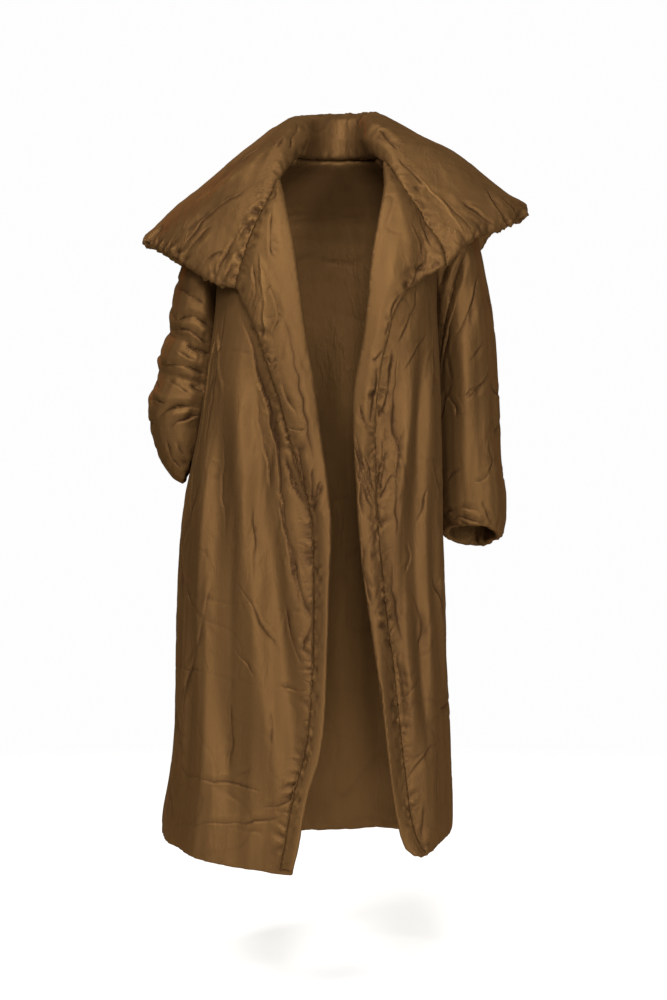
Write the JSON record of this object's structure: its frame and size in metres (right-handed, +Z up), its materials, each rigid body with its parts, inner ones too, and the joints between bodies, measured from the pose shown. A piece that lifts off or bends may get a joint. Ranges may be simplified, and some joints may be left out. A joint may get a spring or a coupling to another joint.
{
  "type": "long padded coat",
  "caption": "Long wide padded coat worn open: hollow body, full sleeves, turned-out facings and a very large cape collar folded over the shoulders.",
  "frame": {"origin": "middle of the neckline at shoulder level, where a wearer's neck and shoulders hold the coat up", "axes": "+Z up, +Y to the wearer's back, +X to the wearer's left"},
  "size_m": [0.7266, 0.5237, 1.4108],
  "materials": {
    "shell": "satin"
  },
  "bodies": {
    "root": {"back": "shell", "front_right": "shell", "front_left": "shell", "facing_right": "shell", "facing_left": "shell", "sleeve_left": "shell", "sleeve_right": "shell", "collar": "shell"}
  },
  "joints": []
}
